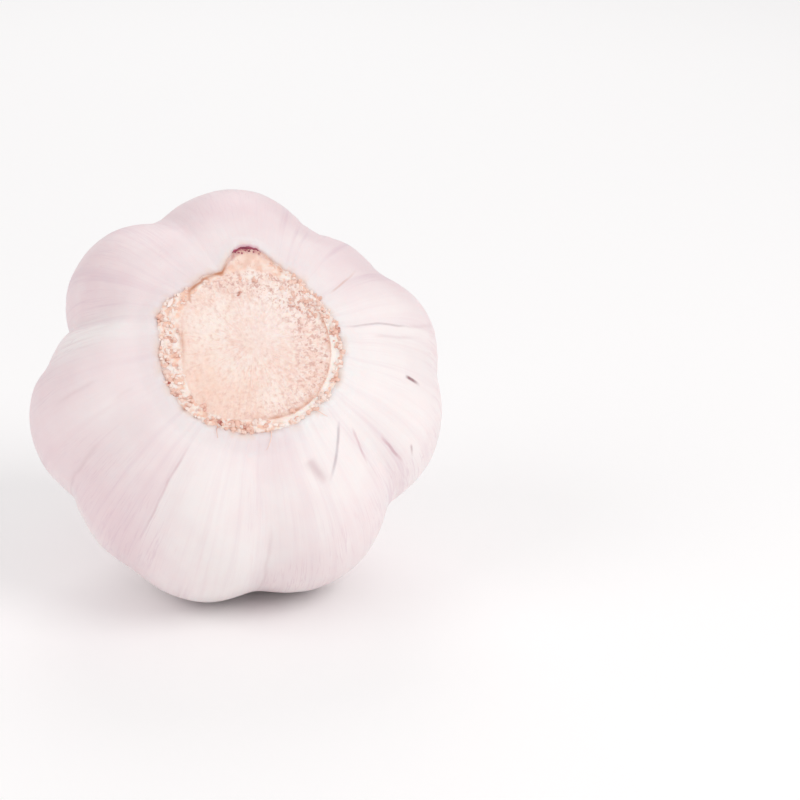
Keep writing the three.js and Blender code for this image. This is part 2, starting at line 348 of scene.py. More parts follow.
class Recipe:
    # A node material: calls add nodes, and sockets given as values are linked. Colours and bumps
    # are laid over one another until finish plugs them in.

    def __init__(self, name, colours, first):
        self.material = bpy.data.materials.new(name)
        self.material.use_nodes = True
        self.tree = self.material.node_tree
        self.tree.nodes.clear()
        self.shader = self.add("ShaderNodeBsdfPrincipled")
        self.tree.links.new(self.shader.outputs[0], self.add("ShaderNodeOutputMaterial").inputs[0])
        self.colours, self.colour, self.normal = colours, None, {}
        self.layer(first)

    def add(self, kind, inputs=None, **settings):
        node = self.tree.nodes.new(kind)
        for key, value in settings.items():
            setattr(node, key, value)
        self.plug(node, inputs or {})
        return node

    def plug(self, node, values):
        for key, value in values.items():
            if isinstance(value, bpy.types.NodeSocket):
                self.tree.links.new(value, node.inputs[key])
            else:
                node.inputs[key].default_value = value

    def attribute(self, name, output="Fac"):
        return self.add("ShaderNodeAttribute", attribute_name=name).outputs[output]

    def objectPlace(self):
        return self.add("ShaderNodeTexCoord").outputs["Object"]

    def noise(self, vector, scale, detail=3.0, roughness=0.5, distortion=0.0):
        values = dict(Vector=vector, Scale=scale, Detail=detail, Roughness=roughness, Distortion=distortion)
        return self.add("ShaderNodeTexNoise", values).outputs["Fac"]

    def math(self, operation, a, b=0.0, clamp=False):
        return self.add("ShaderNodeMath", {0: a, 1: b}, operation=operation, use_clamp=clamp).outputs[0]

    def times(self, first, *others):
        # the product of its factors; a name stands for the vertex values kept under it
        total = self.attribute(first) if isinstance(first, str) else first
        for factor in others:
            total = self.math("MULTIPLY", total, self.times(factor))
        return total

    def between(self, value, low, high, toLow=0.0, toHigh=1.0):
        # low to high becomes toLow to toHigh, held at both ends
        values = {"Value": value, "From Min": low, "From Max": high, "To Min": toLow, "To Max": toHigh}
        return self.add("ShaderNodeMapRange", values, interpolation_type="SMOOTHSTEP").outputs[0]

    def clouds(self, low, high, *noise):
        # 0 where a noise is low, 1 where it is high
        return self.between(self.noise(*noise), low, high)

    def threads(self, noise, strength=1.0):
        # thin lines where a noise passes its middle
        off = self.math("ABSOLUTE", self.math("SUBTRACT", noise, 0.5))
        return self.between(off, 0.0, 0.03, strength, 0.0)

    def blend(self, factor, a, b):
        values = {0: factor, 6: a, 7: b}
        return self.add("ShaderNodeMix", values, data_type="RGBA", blend_type="MIX").outputs[2]

    def layer(self, name):
        # hands back what is painted so far, and starts anew with a plain colour
        done, self.colour = self.colour, shade(*self.colours[name])
        return done

    def paint(self, colour, *factors):
        # a colour over what is there, by the product of the factors
        colour = self.colours[colour] if isinstance(colour, str) else colour
        self.colour = self.blend(self.times(*factors), self.colour, shade(*colour))

    def bump(self, height, strength, distance):
        values = dict(self.normal, Height=height, Strength=strength, Distance=distance)
        self.normal = {"Normal": self.add("ShaderNodeBump", values).outputs[0]}

    def finish(self, **values):
        named = {key.replace("_", " "): value for key, value in values.items()}
        self.plug(self.shader, {**named, "Base Color": self.colour, **self.normal})
        return self.material


def shade(*screen):
    # a colour given as 0 to 255 screen values, made linear
    values = [v / 255 for v in screen]
    return tuple(v / 12.92 if v <= 0.04045 else ((v + 0.055) / 1.055) ** 2.4 for v in values) + (1.0,)


skin = {
    "columns": 800,
    "rowSteps": (0.3, 0.75, 1.25),  # millimetres between rows by the plate, on the belly, behind
    "veinHeight": 0.018,  # millimetres, each of these
    "tensionHeight": 0.06,
    "dentHeight": 0.11,
    "creaseDepth": 0.13,
    "dryLength": 5.5,
    "colours": {
        "pale": (248, 240, 239), "pink": (237, 217, 220), "lilac": (222, 196, 206),
        "streak": (180, 120, 148), "crease": (172, 118, 128), "warm": (242, 210, 192),
        "edge": (214, 150, 122), "fold": (244, 188, 204), "dry": (231, 211, 186),
        "cut": (233, 214, 190),
    },
}

# Creases that run out from the root plate: direction, start and end in millimetres along the
# skin line, turn on the way, half width in millimetres, depth as a share, strength of the colour.
# The material draws the first ones as crisp lines, each in its own colour: partly the skin's own marks and
# partly painted shade in the fold.
creases = [
    (30.0, 1.6, 9.8, 4.0, 0.13, 0.3, 0.4, (212, 160, 140)),
    (7.5, 0.6, 14.0, -1.5, 0.12, 0.4, 0.36, (156, 124, 134)),
    (323.0, 10.5, 18.5, 0.8, 0.14, 0.6, 0.5, (186, 128, 144)),
    (316.5, 5.5, 12.5, -4.5, 0.16, 0.5, 0.42, (196, 150, 162)),
    (314.3, 3.3, 9.4, -20.5, 0.25, 0.5, 0.42, (144, 120, 138)),
    (346.8, 10.0, 12.6, -1.2, 0.18, 0.8, 0.9, (136, 70, 82)),
    (328.5, 16.2, 18.6, -1.5, 0.14, 0.5, 0.5, (150, 100, 114)),
    (234.3, 3.0, 22.0, 0.6, 0.13, 0.4, 0.4, (206, 172, 180)),
    (6.0, 11.0, 24.0, 5.0, 0.15, 0.5, 0.25),
    (1.0, 4.5, 15.0, 2.0, 0.16, 0.4, 0.25),
    (291.0, 5.0, 9.5, 3.0, 0.6, 1.8, 0.4),
    (187.6, 8.5, 18.0, 0.8, 0.24, 0.35, 0.14),
    (196.0, 4.0, 8.5, 1.6, 0.22, 0.3, 0.08),
    (168.5, 8.0, 24.0, -1.5, 0.2, 0.5, 0.12),
    (164.0, 6.0, 20.0, 2.0, 0.2, 0.4, 0.1),
    (172.5, 9.0, 21.0, -3.0, 0.2, 0.4, 0.1),
    (112.0, 12.0, 34.0, 2.0, 0.25, 0.5, 0.12),
    (63.0, 14.0, 36.0, -2.0, 0.25, 0.5, 0.12),
    (206.0, 12.0, 40.0, 3.0, 0.25, 0.6, 0.18),
    (272.0, 12.0, 38.0, -2.0, 0.25, 0.6, 0.18),
    (26.0, 20.0, 44.0, -3.0, 0.25, 0.5, 0.18),
    (357.0, 20.0, 46.0, 2.0, 0.25, 0.5, 0.18),
]
crispCount = sum(len(crease) > 7 for crease in creases)

# Round patches on the skin: direction, millimetres along the skin line, half width and half
# length in the same units, then millimetres outwards, or how much pinker.
swellings = [(161.5, 20, 4, 9, 0.65), (171, 20.5, 4.5, 9, -0.85), (212.5, 27, 4, 9, 0.5)]
# Some pink patches are painted shade, pinker and darker where lobes turn from the lamps at the top and on
# the left lobe's outer part, and some negative ones are painted light where the skin faces the lamp; the
# others are the skin's own tone.
pinkAndShadingPatches = [(165, 13, 10, 13, -0.9), (212, 22, 16, 14, 0.25), (92, 24, 22, 14, 0.3), (41, 16, 16, 9, 0.3)]
pinkAndShadingPatches += [(277, 5, 11, 5, 0.25), (303, 6, 12, 6, -0.3), (190, 5, 18, 8, -0.3), (190, 22, 16, 7, 0.35)]
pinkAndShadingPatches += [(302, 6, 15, 6, -0.5), (262, 0, 20, 6, 0.2)]


def roundPatches(patches, angle, along):
    # a bell across and a bell along for each patch
    return sum(much * near(angle, at, wide) * bell(along - to, long) for at, to, wide, long, much in patches)


def skinRelief(angle, along, height):
    # fine veins, tension lines in the valleys, broad soft dents and the swellings
    sway = angle + 0.012 * np.sin(along / 9)
    veins = patchNoise(sway, along, 230, 14, 11) + 0.7 * patchNoise(sway, along, 110, 24, 12)
    tension = patchNoise(angle + 0.02 * np.sin(along / 6), along, 150, 9, 13)
    tension = tension * valleys(angle, height, 0.09) * smooth(3, 12, along)
    dents = patchNoise(angle, along, 26, 9, 14) + 0.5 * patchNoise(angle, along, 60, 5, 15)
    relief = skin["veinHeight"] * veins + skin["tensionHeight"] * tension
    relief = relief + skin["dentHeight"] * dents * smooth(1, 8, along)
    return relief + roundPatches(swellings, angle, along)


def creaseLine(n, angle, along):
    # how far each point lies to the side of a crease in millimetres, and how strong it runs there
    at, start, end, turn = creases[n][:4]
    side = 1 if n % 2 else -1
    wander = 0.3 * lineNoise(along, 3.0, 21) + 0.15 * lineNoise(along, 1.2, 22)
    share = np.clip((along - start) / (end - start), 0, 1)
    line = np.radians(at + turn * share + wander * side)
    reach = 12.7 + 0.62 * np.minimum(along, 28)  # about how far out the line is
    run = smooth(0, 0.2, share) * (1 - smooth(0.6, 1.0, share))
    return turnBetween(line, angle) * reach, run


def creaseMap(angle, along):
    # depth of all creases, a narrow and a wide bell across each, and the colour of the soft ones, which is
    # painted shade in their folds
    depth, colour = np.zeros_like(angle), np.zeros_like(angle)
    for n, crease in enumerate(creases):
        _, start, end, turn, wide, deep, dark = crease[:7]
        across, run = creaseLine(n, angle, along)
        slanted = 1 + abs(turn) / (end - start)  # a slanting crease is drawn wider, so it stays whole
        shape = 0.7 * bell(across, 1.6 * wide * slanted) + 0.3 * bell(across, 6 * wide)
        depth = depth + deep * run * shape
        if n >= crispCount:
            colour = np.maximum(colour, dark * run * bell(across, wide))
    return depth, colour


def pinkAndShading(angle, along):
    # pinker on the left, away from the key lamp, whiter on the lower right and by the plate, and uneven,
    # partly the skin's own pink and partly painted shade and light; painted paler just past two of the
    # creases, and the round patches
    pink = 0.5 - 0.5 * np.cos(angle - np.radians(310)) + 0.2 * patchNoise(angle, along, 9, 14, 19)
    pink = pink + 0.16 * patchNoise(angle, along, 26, 11, 25) * smooth(4, 12, along)
    pink = pink * (0.5 + 0.5 * smooth(4, 17, along)) + 0.04
    pink = pink + 0.3 * near(angle, 12, 42) * smooth(6, 18, along)
    # painted light: just past these two creases the skin is painted paler, as the side of the fold that
    # faces the lamp
    litSides = 0.5 * past(angle, 234.6, 20) + 0.3 * past(angle, 7.0, -18)
    pink = pink - litSides * smooth(3, 9, along) * (1 - smooth(14, 26, along))
    return np.clip(pink + roundPatches(pinkAndShadingPatches, angle, along), -0.4, 1)


def neckCut(angle):
    # rows from the outer edge of the cut over its rim to the core: share of the neck's radius,
    # and height above its end
    profile = [(0.975, 0.12), (0.94, 0.14), (0.91, 0.0), (0.89, -0.6), (0.88, -1.6), (0.86, -2.8)]
    profile += [(0.8, -3.3), (0.6, -3.2), (0.4, -3.1), (0.2, -3.0)]
    rag = 0.35 * roundNoise(angle, 40, 31) + 0.25 * roundNoise(angle, 90, 32)
    rings = []
    for share, up in profile:
        height = bulbForm["neckEndHeight"] + up + rag * (1 if up > -1 else 0)
        rings.append(bulbPoint(share * bulbForm["neckEndRadius"], height, 1.0, 0.0, angle, neck=share))
    return np.stack(rings), rag


def rowPlaces():
    # spline shares of the skin's rows: even steps of a count that grows as one over the row step
    byPlate, belly, back = skin["rowSteps"]
    fine = np.linspace(0, 1, 4001)
    r, h, _, _ = sideLine(fine)
    length = np.concatenate([[0], np.cumsum(np.hypot(np.diff(r), np.diff(h)))])
    step = byPlate + (belly - byPlate) * smooth(2, 9, length) + (back - belly) * smooth(30, 50, length)
    count = np.concatenate([[0], np.cumsum(np.diff(length) / step[1:])])
    t = np.interp(np.linspace(0, count[-1], int(count[-1])), count, fine)
    return t, np.interp(t, fine, length)


def edgeStand(along):
    # how far the skin stands off its own line, all of it at the torn edge
    return edgeForm["skinStand"] * (1 - smooth(*edgeForm["standReach"], along))


def pocketRows(angle, edge):
    # rings from the middle of the pocket's floor up its wall, then under and round the torn edge
    tuck = edgeForm["tuck"]
    wall = edge + tuck + 0.25
    stand = skinLine[0][1] - edgeForm["skinStand"]
    floor = bulbForm["pocketDepth"]
    steps = [(0.5 * wall, floor), (0.98 * wall, floor), (wall, floor - 0.2), (wall, stand + 0.75)]
    steps += [(edge + 0.5 * tuck, stand + 0.35), (edge + 0.03, stand + 0.2), (edge - 0.06, stand + 0.08)]
    return np.stack([onPlate(r, angle, -h) for r, h in steps])


def makeSkin():
    # the rings of the pocket, of the side line with its relief, and of the cut
    angles = turns(skin["columns"])
    t, along = rowPlaces()
    angle, t = np.meshgrid(angles, t)
    along = along[:, None] + 0 * angle
    radius, height, outR, outH = sideLine(t)
    creaseDepth, creaseShade = creaseMap(angle, along)
    lift = skinRelief(angle, along, height) - skin["creaseDepth"] * creaseDepth
    # the torn edge stands a little off the form, and ripples
    ripple = (0.12 * roundNoise(angle, 60, 23) + 0.06 * roundNoise(angle, 150, 24)) * bell(along, 1.6)
    cut, rag = neckCut(angles)
    high = height - edgeStand(along) - ripple + rag[None, :] * smooth(0.97, 1, t)
    outer = bulbPoint(radius, high, outR, outH, angle, lift=lift, edge=skinEdge(angles)[None, :])
    pocket = pocketRows(angles, tornEdge(angles))
    poles = np.stack([onPlate(0.0, 0.0, -bulbForm["pocketDepth"]), cut[-1].mean(0)])
    piece = closedPiece("skin", np.concatenate([pocket, outer, cut])[None], poles[None])

    # what the material reads: distance along the line, direction round the axis, and the maps
    def withInside(values, cutValue=0.0):
        # the outer rows' values between 0 for the pocket and one value for the cut
        return np.concatenate([np.zeros(pocket.shape[:2]), values, np.full(cut.shape[:2], cutValue)])

    last = along.max()
    allAlong = withInside(along, cutValue=last)
    allAngle = np.broadcast_to(angles, allAlong.shape)
    lines = np.stack([20 * np.cos(allAngle), 20 * np.sin(allAngle), 0.03 * allAlong], -1)
    tellGrid(piece, "lines", lines, (0, 0, 0), (0, 0, 3))
    tellGrid(piece, "along", allAlong, 0, last)
    # painted shade along the soft creases
    tellGrid(piece, "crease", withInside(creaseShade))
    farOff = 9
    for n in range(crispCount):
        across, run = creaseLine(n, allAngle, allAlong)
        sideways = np.stack([np.clip(across, -farOff, farOff), run, 0 * run], -1)
        tellGrid(piece, "crease%d" % n, sideways, (farOff, 0, 0), (farOff, 0, 0))
    tellGrid(piece, "cut", withInside(0 * along, cutValue=1), 0, 1)
    # the pink values hold the skin's own pink together with painted shade and painted light
    tellGrid(piece, "pink", pinkAndShading(allAngle, allAlong), 0.5, 0.5)
    # the valleys between the cloves, from where the plate's smooth surround ends; the material paints more
    # lilac there as painted shade
    low = valleys(angle, height, 0.07) * smooth(3, 12, along) * (1 - smooth(50, 62, along))
    low = low * (1 - 0.9 * near(angle, 165, 10) * bell(along - 14, 14))
    tellGrid(piece, "valleyShade", withInside(low))
    # the torn edge is brown by the tongue and peach elsewhere
    brown = np.clip(withWaves(allAngle, 0.2, [(118, 17, 0.5), (64, 15, 0.5)]), 0, 1)
    tellGrid(piece, "edge", brown * bell(allAlong, 0.35))
    # the purple of the fold runs a little way into the skin
    tellGrid(piece, "fold", near(allAngle, 87, 9) * bell(allAlong, 0.5))
    # the last few millimetres before the cut are dried out
    tellGrid(piece, "dry", smooth(last - skin["dryLength"], last + 0.5, allAlong), 0, 1)
    # where the purple shows more, stronger towards the neck
    blush = smooth(18, 48, allAlong) * (0.6 + 0.4 * patchNoise(allAngle, allAlong, 7, 30, 18))
    tellGrid(piece, "blush", blush, 0, 0.5)
    return piece


def skinMaterial():
    # pink clouds on pale paper, lilac veins and streaks, then the creases and the two dry edges
    m = Recipe("papery_skin", skin["colours"], "pale")
    place, lines, along = m.objectPlace(), m.attribute("lines", "Vector"), m.attribute("along")
    cloud = m.between(m.noise(place, 45, 4, 0.55), 0.35, 0.66, -0.25, 0.35)
    # pink by the pink values: the skin's own pink with painted shade and painted light in it
    m.paint("pink", m.math("ADD", m.attribute("pink"), cloud, True))
    # fine veins run from root to neck, fewer by the plate
    where = m.clouds(0.42, 0.62, place, 60, 2)
    veins = m.threads(m.noise(lines, 1.5, 3, 0.6, 0.1))
    m.paint("lilac", veins, where, m.between(along, 3.0, 22.0, 0.06, 0.4))
    band = m.clouds(0.45, 0.7, lines, 0.9, 5, 0.65, 0.1)
    m.paint("pink", band, m.between(along, 3.0, 22.0, 0.16, 0.35))
    # long soft streaks, lilac ones of the skin's own colour, painted stronger in the valleys between the
    # cloves as painted shade
    streaks = m.clouds(0.5, 0.66, lines, 0.55, 5, 0.6, 0.2)
    m.paint("lilac", streaks, m.math("ADD", m.attribute("valleyShade"), 0.25, True), 0.55)
    streaks = m.clouds(0.5, 0.72, lines, 0.75, 5, 0.6, 0.3)
    m.paint("streak", streaks, "blush", 0.6)
    # creases with painted shade in their folds, the torn edge, the tint of the fold and the drier, creamier
    # edge of the cut
    m.paint("crease", "crease", 0.75)
    patchy = m.between(m.noise(place, 350, 3), 0.3, 0.6, 0.5, 1.0)
    # crisp crease lines, partly the skin's own marks and partly painted shade
    for n in range(crispCount):
        wide, _, dark, colour = creases[n][4:]
        across, run, _ = m.add("ShaderNodeSeparateXYZ", {0: m.attribute("crease%d" % n, "Vector")}).outputs
        thin = m.between(m.math("ABSOLUTE", across), 0.3 * wide, 1.8 * wide, 1.0, 0.0)
        m.paint(colour, thin, run, patchy, dark)
    warm = m.clouds(0.42, 0.62, place, 420, 3)
    m.paint("warm", m.between(along, 0.1, 1.6, 1.0, 0.0), warm, 0.5)
    m.paint("edge", "edge")
    m.paint("fold", m.between(m.attribute("fold"), 0.1, 0.9, 0.0, 0.8))
    uneven = m.between(m.noise(lines, 2.5, 4, 0.6), 0.3, 0.7, -0.45, 0.3)
    dry = m.math("ADD", m.attribute("dry"), uneven, True)
    m.paint("dry", dry, m.between(m.attribute("dry"), 0.0, 0.25))
    m.paint("cut", "cut")
    m.bump(m.noise(lines, 9.0, 5, 0.65, 0.1), 0.2, 0.00025)
    m.bump(m.noise(place, 900, 4, 0.6), 0.12, 0.0001)
    return m.finish(
        Roughness=m.between(m.noise(place, 120, 3), 0.3, 0.7, 0.42, 0.56),
        Subsurface_Weight=0.25,
        Subsurface_Radius=(1.0, 0.55, 0.5),
        Subsurface_Scale=0.0025,
        Specular_IOR_Level=0.45,
        Sheen_Weight=0.12,
        Sheen_Roughness=0.4,
    )


skinPiece = makeSkin()
skinPiece.data.materials.append(skinMaterial())
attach(skinPiece, "root")
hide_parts("bulb")
print("skin made:", len(skinPiece.data.polygons), "faces")


sheaths = {
    "columns": 160,
    "wallRows": 12,
    "shares": (0.8, 0.66, 0.5, 0.33),  # of the neck's end radius
    "thickness": 0.22,
    "ends": (-0.2, -0.7, 0.0, -0.6),  # of each one's edge, from the neck's own end
    "foot": 57.6,
    "colours": {
        "pale": (246, 234, 215), "dry": (232, 211, 186), "brown": (206, 172, 152),
    },
}


def makeSheaths():
    # thin pleated tubes one inside the other: the wall of each is a closed loop of rows, up the
    # outside and down the inside, thinner at both ends and moved in and out by noise
    rows, foot = sheaths["wallRows"], sheaths["foot"]
    angle = np.broadcast_to(turns(sheaths["columns"]), (2 * rows, sheaths["columns"]))
    climb = np.linspace(0, 1, rows)
    up = np.concatenate([climb, climb[::-1]])[:, None]
    side = np.repeat([1.0, -1.0], rows)[:, None]
    side[[0, rows - 1, rows, -1]] *= 0.5
    grids, lines, faces = [], [], []
    for n, share in enumerate(sheaths["shares"]):
        ragged = 0.7 * roundNoise(angle, 17, 41 + n) + 0.3 * roundNoise(angle, 60, 51 + n)
        top = bulbForm["neckEndHeight"] + sheaths["ends"][n] + ragged
        height = foot + (top - foot) * up
        crumple = 0.22 * patchNoise(angle, height, 13, 3, 61 + n)
        crumple = crumple + 0.08 * patchNoise(angle, height, 40, 2, 71 + n)
        flare = 0.25 * up**3 * roundNoise(angle, 9, 81 + n)
        r = share * bulbForm["neckEndRadius"] + side * sheaths["thickness"] / 2 + crumple + flare
        grids.append(bulbPoint(r, height, 1.0, 0.0, angle, neck=share))
        lines.append([9 * np.cos(angle), 9 * np.sin(angle), grids[-1][..., 2] * 0.2 + 5 * n])
        faces += gridFaces(*angle.shape, n * angle.size, True)[:, ::-1].tolist()
    piece = makePiece("neck_sheaths", toScene(np.stack(grids)), faces)
    tellVertices(piece, "lines", np.moveaxis(lines, 1, -1))
    return piece


def sheathMaterial():
    # cream with dry and with brown streaks
    m = Recipe("dry_sheath", sheaths["colours"], "pale")
    lines = m.attribute("lines", "Vector")
    m.paint("dry", m.clouds(0.35, 0.65, lines, 2.2, 4))
    m.paint("brown", m.clouds(0.56, 0.7, lines, 5.5, 3))
    m.bump(m.noise(lines, 8, 4), 0.4, 0.0003)
    return m.finish(Roughness=0.7)


sheathPiece = makeSheaths()
sheathPiece.data.materials.append(sheathMaterial())
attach(sheathPiece, "root")
print("neck sheaths made")


plate = {
    "columns": 440,
    "discRows": 96,
    "ringRows": 60,
    "firstRow": 0.012,  # share of the disc's radius
    "grainHeight": 0.06,  # millimetres, each of these
    "fibreHeight": 0.05,
    "crumbHeight": 0.13,
    "openPlaces": [(330, 50), (172, 8)],  # where the groove lies open: direction and half width
    "colours": {
        "disc": (247, 220, 209), "pale": (253, 241, 234), "fibre": (228, 184, 166),
        "mottle": (224, 184, 170), "warm": (246, 209, 190), "middle": (252, 238, 233),
        "tan": (211, 164, 151), "brown": (187, 122, 111), "ring": (252, 232, 222),
        "orange": (249, 210, 191), "tongue": (239, 204, 188), "tonguePale": (250, 226, 214),
        "thread": (206, 158, 142), "groove": (255, 249, 243), "line": (197, 133, 103),
        "stain": (192, 116, 122),
    },
}

# Height above the rim level: distance 0 to 1 crosses the disc, 1 to 2 the ring round it. Where
# roots stand thick the ring is filled up to the second line.
openFace = [(0, 0.4), (0.4, 0.35), (0.8, 0.3), (0.97, 0.36), (1.0, 0.3), (1.1, 0.0), (1.4, 0.0)]
openFace += [(1.62, 0.32), (1.8, 0.3), (1.9, 0.2), (2.0, 0.1)]
filledFace = [(0, 0.4), (0.4, 0.35), (0.8, 0.3), (1.0, 0.34), (1.4, 0.38), (1.8, 0.33)]
filledFace += [(1.9, 0.2), (2.0, 0.1)]


def planeNoise(x, y, cell, seed):
    # the same random lattice laid flat, with square cells, repeating every 60 mm
    repeat = 60
    return patchNoise(x / repeat * fullTurn, y, round(repeat / cell), cell, seed)


def clearGroove(angle):
    # 1 where the groove round the disc lies open, 0 where it is filled
    places = plate["openPlaces"]
    far = [np.abs(turnBetween(np.radians(at), angle)) / np.radians(wide) for at, wide in places]
    return 1 - smooth(0.6, 1.3, np.minimum(*far))


def faceRadius(distance, angle):
    # how many millimetres from the plate's middle a distance lies
    outer = tornEdge(angle) + edgeForm["tuck"]
    ring = np.maximum(0, distance - 1)
    return np.minimum(distance, 1) * discEdge(angle) * (1 - ring) + outer * ring


def faceAt(angle, r):
    # and the distance of a point that lies r millimetres from the middle
    inner, outer = discEdge(angle), tornEdge(angle) + edgeForm["tuck"]
    return np.where(r < inner, r / inner, 1 + (r - inner) / (outer - inner))


def onFace(distance, angle, up):
    # the point there, up millimetres off the plate's plane
    return onPlate(faceRadius(distance, angle), angle, up)


def plateGrain(distance, angle):
    # grains, fibres, crumbs and the smooth tongue, each from about -1 to 1 or 0 to 1
    x, y, _ = np.moveaxis(onFace(distance, angle, 0), -1, 0)
    grain = planeNoise(x, y, 0.42, 102) + 0.6 * planeNoise(x + 7, y, 0.85, 106)
    fibre = patchNoise(angle, distance * 10, 150, 1.1, 101) * smooth(0.12, 0.4, distance)
    crumb = planeNoise(x, y + 11, 0.55, 104) + 0.6 * planeNoise(x, y, 0.3, 105)
    return grain, fibre, crumb, near(angle, 88, 17) * smooth(0.97, 1.3, distance)


def plateHeight(distance, angle):
    # the plain face, then grain and fibres on the disc, crumbs on the ring and the tongue's dome
    clear = clearGroove(angle)
    opened, filled = (np.interp(distance, *zip(*face)) for face in (openFace, filledFace))
    grain, fibre, crumb, tongue = plateGrain(distance, angle)
    ring = smooth(0.98, 1.15, distance) * (1 - smooth(1.86, 2, distance))
    rough = (1 - ring) * (plate["grainHeight"] * grain + plate["fibreHeight"] * fibre)
    crumbly = (1 - 0.9 * tongue) * (1 - 0.85 * clear * (1 - smooth(1.45, 1.6, distance)))
    dome = 0.5 * tongue * np.sin(np.pi * np.clip(distance - 1, 0, 0.9) / 0.9) ** 2
    # a thin line of rind stands along the disc where the groove is open
    rind = 0.12 * clear * bell(distance - 0.985, 0.03)
    raised = opened * clear + filled * (1 - clear)
    return raised + rough + ring * plate["crumbHeight"] * crumb * crumbly + dome + rind


def brownLines(turn, reach, inside):
    # thin brown lines: round the disc where the groove is open, and along the tongue's flanks
    openSide = withWaves(turn, 0, [(290, 24, 0.7), (9, 13, 1.2), (335, 30, 0.3), (182, 24, 0.3)])
    discLine = bell(reach - 1.0, 0.036) * np.clip(openSide, 0, 1)
    degrees = np.degrees(turn)
    turnsIn = 1.9 * (np.clip(degrees - 128, 0, 13) / 12) ** 2
    flanks = smooth(96, 106, degrees) * (1 - smooth(139, 141, degrees)) + 0.7 * near(turn, 69, 10)
    flankLine = bell(inside - 0.16 - turnsIn, 0.29) * flanks
    broken = 0.75 + 0.4 * roundNoise(turn, 50, 111)
    return np.clip(np.maximum(discLine, flankLine) * broken, 0, 1)


def makePlate():
    # the face's rows, then those of its side and of its back
    angles = turns(plate["columns"])
    distance = np.linspace(plate["firstRow"], 1, plate["discRows"])
    distance = np.concatenate([distance, 1 + np.linspace(0, 1, plate["ringRows"] + 1)[1:]])
    angle, distance = np.meshgrid(angles, distance)
    face = onFace(distance, angle, plateHeight(distance, angle))
    back = bulbForm["pocketDepth"] - 0.1
    poles = np.stack([onPlate(0.0, 0.0, openFace[0][1]), onPlate(0.0, 0.0, -back)])
    side = face[-1:] * [1, 1, 0] + [0, 0, back]
    grid = np.concatenate([face, side, (side + poles[1]) / 2])
    piece = closedPiece("root_plate_face", grid[None], poles[None])

    # what the material reads, first the ring's groove and the lines
    reach = np.concatenate([distance, np.full((2, plate["columns"]), 2.0)])
    turn = np.broadcast_to(angles, reach.shape)
    grain, _, crumb, tongue = plateGrain(reach, turn)
    tellGrid(piece, "grain", 0.5 + 0.3 * grain, 0.5, 0.5)
    tellGrid(piece, "crumb", 0.5 + 0.3 * crumb, 0.5, 0.5)
    tellGrid(piece, "tongue", tongue)
    tellGrid(piece, "reach", reach, 0, 2)
    ends = smooth(1.4, 1.6, reach + 0.12 * roundNoise(turn, 34, 112))
    groove = clearGroove(turn) * smooth(1.04, 1.14, reach) * (1 - ends)
    tellGrid(piece, "groove", groove * (1 - 0.5 * near(turn, 172, 20)))
    inside = tornEdge(turn) - faceRadius(reach, turn)  # millimetres from the torn edge
    tellGrid(piece, "line", brownLines(turn, reach, inside))
    # pink below the purple fold
    tellGrid(piece, "stain", near(turn, 88, 10) * bell(inside - 0.5, 0.5))
    # mottled tan on the right and along the top of the disc
    tan = 0.15 + near(turn, 8, 55) * smooth(0.4, 0.8, reach)
    tan = tan + 0.8 * near(turn, 62, 48) * smooth(0.55, 0.85, reach)
    tan = tan + 0.9 * near(turn, 100, 16) * bell(reach - 0.95, 0.09)
    tan = tan + 0.3 * near(turn, 275, 45) * smooth(0.5, 0.85, reach)
    tellGrid(piece, "tan", np.clip(tan, 0, 1) * (1 - 0.8 * tongue) * (1 - smooth(1.3, 1.6, reach)))
    warm = near(turn, 222, 62) * smooth(0.2, 0.7, reach) * (1 - smooth(1.0, 1.1, reach))
    tellGrid(piece, "warm", warm)
    x, y, _ = np.moveaxis(onFace(reach, turn, 0), -1, 0)
    pale = bell(np.hypot(x - 3.2, y - 2.8), 4.2)
    tellGrid(piece, "pale", pale, pale[0].mean())
    rays = np.stack([14 * np.cos(turn), 14 * np.sin(turn), reach * 4.5], -1)
    tellGrid(piece, "rays", rays, (0, 0, 0), (0, 0, 9))
    return piece


